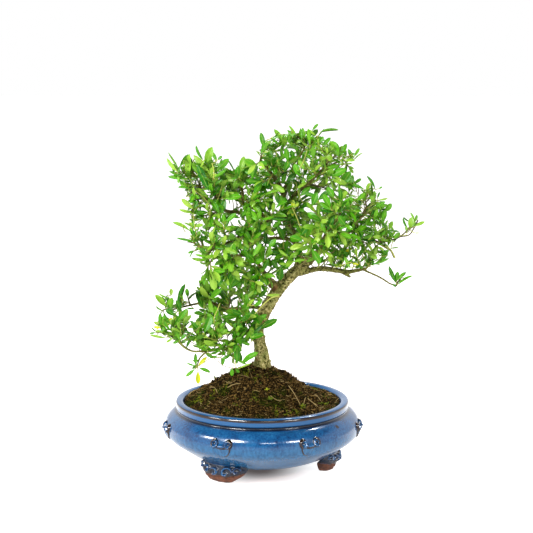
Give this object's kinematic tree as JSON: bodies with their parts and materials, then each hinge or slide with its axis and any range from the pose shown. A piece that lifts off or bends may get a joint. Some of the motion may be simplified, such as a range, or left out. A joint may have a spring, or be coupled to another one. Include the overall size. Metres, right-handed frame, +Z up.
{
  "type": "japanese holly bonsai",
  "caption": "Japanese holly bonsai with a curved, leaning trunk and open leafy sprays, growing from mounded soil in a round blue-glazed pot on scroll feet.",
  "frame": {"origin": "middle of the whole bonsai's box, on the surface that the pot's feet stand on", "axes": "+Z up; seen from the front +X is to the right, the way the trunk leans, and +Y is away from the viewer"},
  "size_m": [0.2762, 0.197, 0.3426],
  "materials": {
    "glaze": "gloss",
    "screen_plastic": "matte",
    "soil": "matte",
    "bark": "matte",
    "leaf": "satin"
  },
  "bodies": {
    "root": {"pot": "glaze", "drain_screen": "screen_plastic", "soil": "soil", "trunk": "bark", "spray_01": "leaf", "spray_02": "leaf", "spray_03": "leaf", "spray_04": "leaf", "spray_05": "leaf", "spray_06": "leaf", "spray_07": "leaf", "spray_08": "leaf", "spray_09": "leaf", "spray_10": "leaf", "spray_11": "leaf", "spray_12": "leaf", "spray_13": "leaf", "spray_14": "leaf", "spray_15": "leaf", "spray_16": "leaf", "spray_17": "leaf", "spray_18": "leaf", "spray_19": "leaf", "spray_20": "leaf", "spray_21": "leaf", "spray_22": "leaf", "spray_23": "leaf", "spray_24": "leaf", "spray_25": "leaf", "spray_26": "leaf", "spray_27": "leaf", "spray_28": "leaf", "spray_29": "leaf", "spray_30": "leaf", "spray_31": "leaf", "spray_32": "leaf", "spray_33": "leaf", "spray_34": "leaf", "spray_35": "leaf", "spray_36": "leaf", "spray_37": "leaf", "spray_38": "leaf", "spray_39": "leaf", "spray_40": "leaf", "spray_41": "leaf", "spray_42": "leaf", "spray_43": "leaf", "spray_44": "leaf", "spray_45": "leaf", "spray_46": "leaf", "spray_47": "leaf", "spray_48": "leaf", "spray_49": "leaf", "spray_50": "leaf", "spray_51": "leaf", "spray_52": "leaf", "spray_53": "leaf", "spray_54": "leaf", "spray_55": "leaf"}
  },
  "joints": []
}
